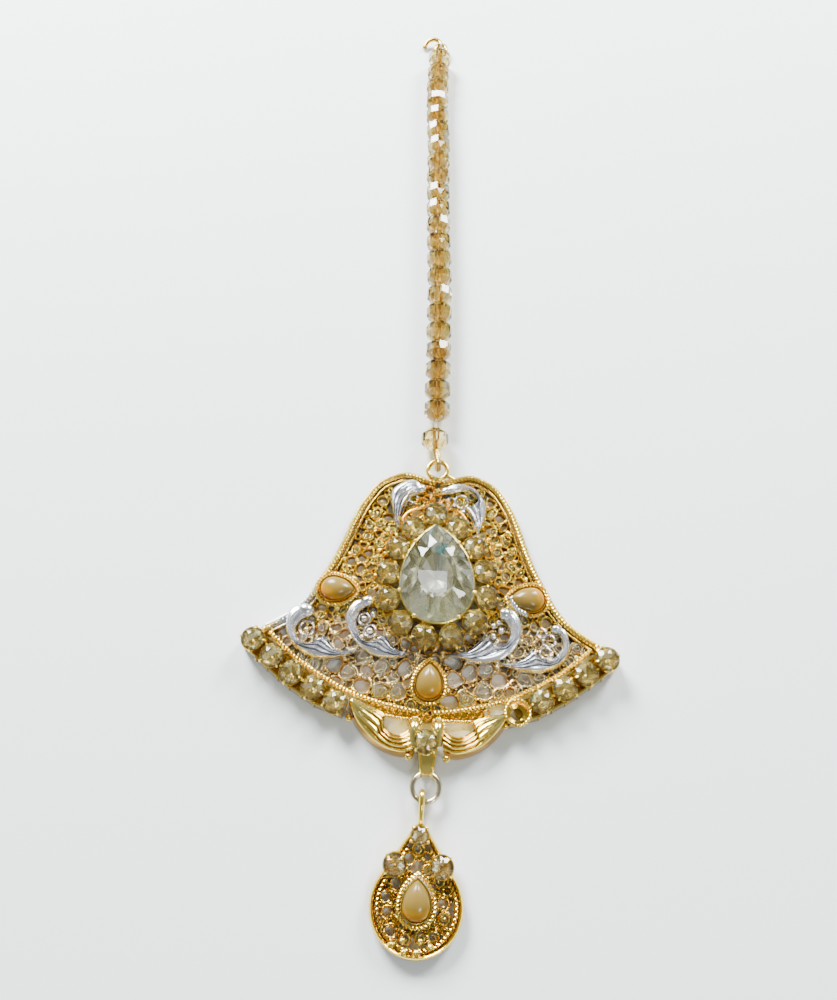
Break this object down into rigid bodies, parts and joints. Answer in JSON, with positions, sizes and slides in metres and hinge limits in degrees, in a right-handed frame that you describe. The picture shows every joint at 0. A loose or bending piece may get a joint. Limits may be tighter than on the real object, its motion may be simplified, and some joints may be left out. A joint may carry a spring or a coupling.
{
  "type": "maang tikka",
  "caption": "Forehead ornament of gold-tone openwork metal set with a pear crystal, round stones and opal drops, with a jointed drop and a strand of faceted beads ending in a hair hook.",
  "frame": {"origin": "on the flat back of the plaque, under the widest line of the pear crystal", "axes": "+Y along the ornament from the drop towards the hair hook, +Z out of the front of the plaque, +X to the wearer's left as seen from the front"},
  "size_m": [0.0506, 0.152, 0.0058],
  "materials": {
    "gold_metal": "antique gold plate with darker recesses and bright raised edges",
    "silver_metal": "bright rhodium plate with a slight gold tint",
    "crystal_glass": "clear cut glass over foil",
    "champagne_glass": "champagne cut glass over foil",
    "opal_glass": "milky opal cabochon with an amber glow",
    "bead_glass": "faceted champagne glass with a faint rainbow coat"
  },
  "bodies": {
    "root": {"pear_crystal": "crystal_glass", "halo_stone_01": "champagne_glass", "halo_stone_02": "champagne_glass", "halo_stone_03": "champagne_glass", "halo_stone_04": "champagne_glass", "halo_stone_05": "champagne_glass", "halo_stone_06": "champagne_glass", "halo_stone_07": "champagne_glass", "halo_stone_08": "champagne_glass", "halo_stone_09": "champagne_glass", "halo_stone_10": "champagne_glass", "halo_stone_11": "champagne_glass", "halo_stone_12": "champagne_glass", "halo_stone_13": "champagne_glass", "edge_stone_left_1": "champagne_glass", "edge_stone_left_2": "champagne_glass", "edge_stone_left_3": "champagne_glass", "edge_stone_left_4": "champagne_glass", "edge_stone_left_5": "champagne_glass", "edge_stone_right_1": "champagne_glass", "edge_stone_right_2": "champagne_glass", "edge_stone_right_3": "champagne_glass", "edge_stone_right_4": "champagne_glass", "bottom_stone": "champagne_glass", "pear_cabochon_left": "opal_glass", "pear_cabochon_right": "opal_glass", "pear_cabochon_bottom": "opal_glass", "plaque": "gold_metal", "jump_ring": "silver_metal", "drop_stone_top": "champagne_glass", "drop_stone_left": "champagne_glass", "drop_stone_right": "champagne_glass", "drop_cabochon": "opal_glass", "drop_plate": "gold_metal", "bead_string": "bead_glass", "hair_hook": "gold_metal"}
  },
  "joints": []
}
